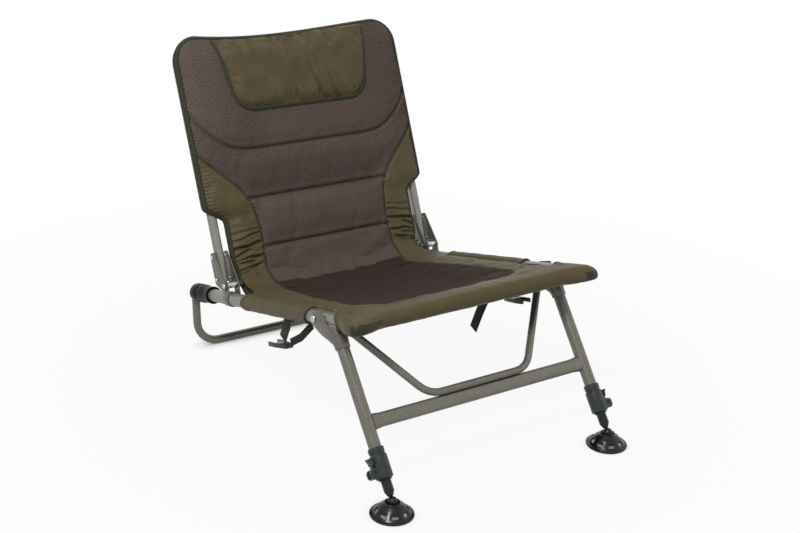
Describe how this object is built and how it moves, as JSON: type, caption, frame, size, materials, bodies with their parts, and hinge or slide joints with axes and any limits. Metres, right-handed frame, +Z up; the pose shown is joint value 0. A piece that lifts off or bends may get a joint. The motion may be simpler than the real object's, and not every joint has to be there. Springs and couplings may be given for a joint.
{
  "type": "carp fishing chair",
  "caption": "Low reclining fishing chair: padded sling seat on a bent tube frame, folding front legs with cam-locked telescopic mud feet, and a sliding rear ground bar.",
  "frame": {"origin": "centre of the footprint on the ground", "axes": "+Z up; -Y is the front of the chair; +X is the sitter's left"},
  "size_m": [0.5452, 0.8464, 0.6233],
  "materials": {
    "frame_paint": "satin grey-green metallic paint",
    "bolt_steel": "zinc plated",
    "black_plastic": "satin moulded",
    "olive_nylon": "woven nylon",
    "black_webbing": "woven strap",
    "green_webbing": "woven strap"
  },
  "bodies": {
    "frame": {"seat_frame_tube": "frame_paint", "seat_cover": "olive_nylon", "hinge_saddle_right": "frame_paint", "hinge_saddle_left": "frame_paint", "hinge_spacer_right": "bolt_steel", "hinge_spacer_left": "bolt_steel", "rail_bush_right": "black_plastic", "rail_bush_left": "black_plastic", "pivot_bolt_right": "bolt_steel", "pivot_bolt_left": "bolt_steel", "tie_tab_right": "green_webbing", "tie_tab_left": "black_webbing", "tie_buckle_right": "black_plastic", "tie_buckle_left": "black_plastic", "tie_lead_right": "black_webbing", "tie_tail_left": "black_webbing"},
    "twist_collar_right": {"twist_collar_right": "black_plastic"},
    "twist_collar_left": {"twist_collar_left": "black_plastic"},
    "rear_bar": {"rear_bar_tube": "frame_paint", "rear_bar_bush_right": "black_plastic", "rear_bar_bush_left": "black_plastic"},
    "front_legs": {"crossbar": "frame_paint", "brace": "frame_paint", "leg_bracket_right": "frame_paint", "leg_bracket_left": "frame_paint", "leg_tube_right": "frame_paint", "leg_tube_left": "frame_paint", "brace_bolt_right": "bolt_steel", "brace_bolt_left": "bolt_steel", "clamp_body_right": "black_plastic", "clamp_body_left": "black_plastic"},
    "cam_right": {"cam_lever_right": "black_plastic", "cam_pin_right": "bolt_steel"},
    "cam_left": {"cam_lever_left": "black_plastic", "cam_pin_left": "bolt_steel"},
    "inner_leg_right": {"inner_leg_right": "black_plastic", "stop_ring_right": "bolt_steel"},
    "inner_leg_left": {"inner_leg_left": "black_plastic", "stop_ring_left": "bolt_steel"},
    "foot_ball_right": {"foot_ball_right": "black_plastic"},
    "foot_ball_left": {"foot_ball_left": "black_plastic"},
    "mud_foot_right": {"mud_foot_right": "black_plastic"},
    "mud_foot_left": {"mud_foot_left": "black_plastic"},
    "backrest": {"back_frame_tube": "frame_paint", "back_pad": "olive_nylon", "headrest_pad": "olive_nylon", "hinge_plate_inner_right": "frame_paint", "hinge_plate_inner_left": "frame_paint", "hinge_plate_outer_right": "frame_paint", "hinge_plate_outer_left": "frame_paint", "hinge_bolt_right": "bolt_steel", "hinge_bolt_left": "bolt_steel", "nut_cap_right": "black_plastic", "nut_cap_left": "black_plastic", "plate_bolt_low_right": "bolt_steel", "plate_bolt_low_left": "bolt_steel", "plate_bolt_high_right": "bolt_steel", "plate_bolt_high_left": "bolt_steel"}
  },
  "joints": [
    {"name": "backrest_recline", "type": "hinge", "parent": "frame", "child": "backrest", "pos_m": [0, 0.18839, 0.18972], "axis": [1, 0, 0], "range_deg": [-20, 98]},
    {"name": "leg_fold", "type": "hinge", "parent": "frame", "child": "front_legs", "pos_m": [0, -0.14657, 0.25909], "axis": [1, 0, 0], "range_deg": [0, 108], "deforming": ["tie_tab_right", "tie_buckle_right", "tie_lead_right", "tie_tab_left", "tie_buckle_left", "tie_tail_left"]},
    {"name": "rear_bar_slide", "type": "slide", "parent": "frame", "child": "rear_bar", "axis": [0, 0.9602, -0.2795], "range_m": [0, 0.11]},
    {"name": "collar_twist_right", "type": "hinge", "parent": "frame", "child": "twist_collar_right", "pos_m": [-0.235, 0.25574, 0.142], "axis": [0, 0.9602, -0.2795], "range_deg": [0, 60]},
    {"name": "collar_twist_left", "type": "hinge", "parent": "frame", "child": "twist_collar_left", "pos_m": [0.235, 0.25574, 0.142], "axis": [0, 0.9602, -0.2795], "range_deg": [0, 60]},
    {"name": "leg_extend_right", "type": "slide", "parent": "front_legs", "child": "inner_leg_right", "axis": [0, -0.627, -0.779], "range_m": [0, 0.09]},
    {"name": "cam_open_right", "type": "hinge", "parent": "front_legs", "child": "cam_right", "pos_m": [-0.2532, -0.35235, 0.06529], "axis": [0, -0.779, 0.627], "range_deg": [0, 120]},
    {"name": "foot_pitch_right", "type": "hinge", "parent": "inner_leg_right", "child": "foot_ball_right", "pos_m": [-0.235, -0.38558, 0.024], "axis": [1, 0, 0], "range_deg": [-18, 18]},
    {"name": "foot_roll_right", "type": "hinge", "parent": "foot_ball_right", "child": "mud_foot_right", "pos_m": [-0.235, -0.38558, 0.024], "axis": [0, 1, 0], "range_deg": [-18, 18]},
    {"name": "leg_extend_left", "type": "slide", "parent": "front_legs", "child": "inner_leg_left", "axis": [0, -0.627, -0.779], "range_m": [0, 0.09]},
    {"name": "cam_open_left", "type": "hinge", "parent": "front_legs", "child": "cam_left", "pos_m": [0.2532, -0.35235, 0.06529], "axis": [0, 0.779, -0.627], "range_deg": [0, 120]},
    {"name": "foot_pitch_left", "type": "hinge", "parent": "inner_leg_left", "child": "foot_ball_left", "pos_m": [0.235, -0.38558, 0.024], "axis": [1, 0, 0], "range_deg": [-18, 18]},
    {"name": "foot_roll_left", "type": "hinge", "parent": "foot_ball_left", "child": "mud_foot_left", "pos_m": [0.235, -0.38558, 0.024], "axis": [0, 1, 0], "range_deg": [-18, 18]}
  ]
}
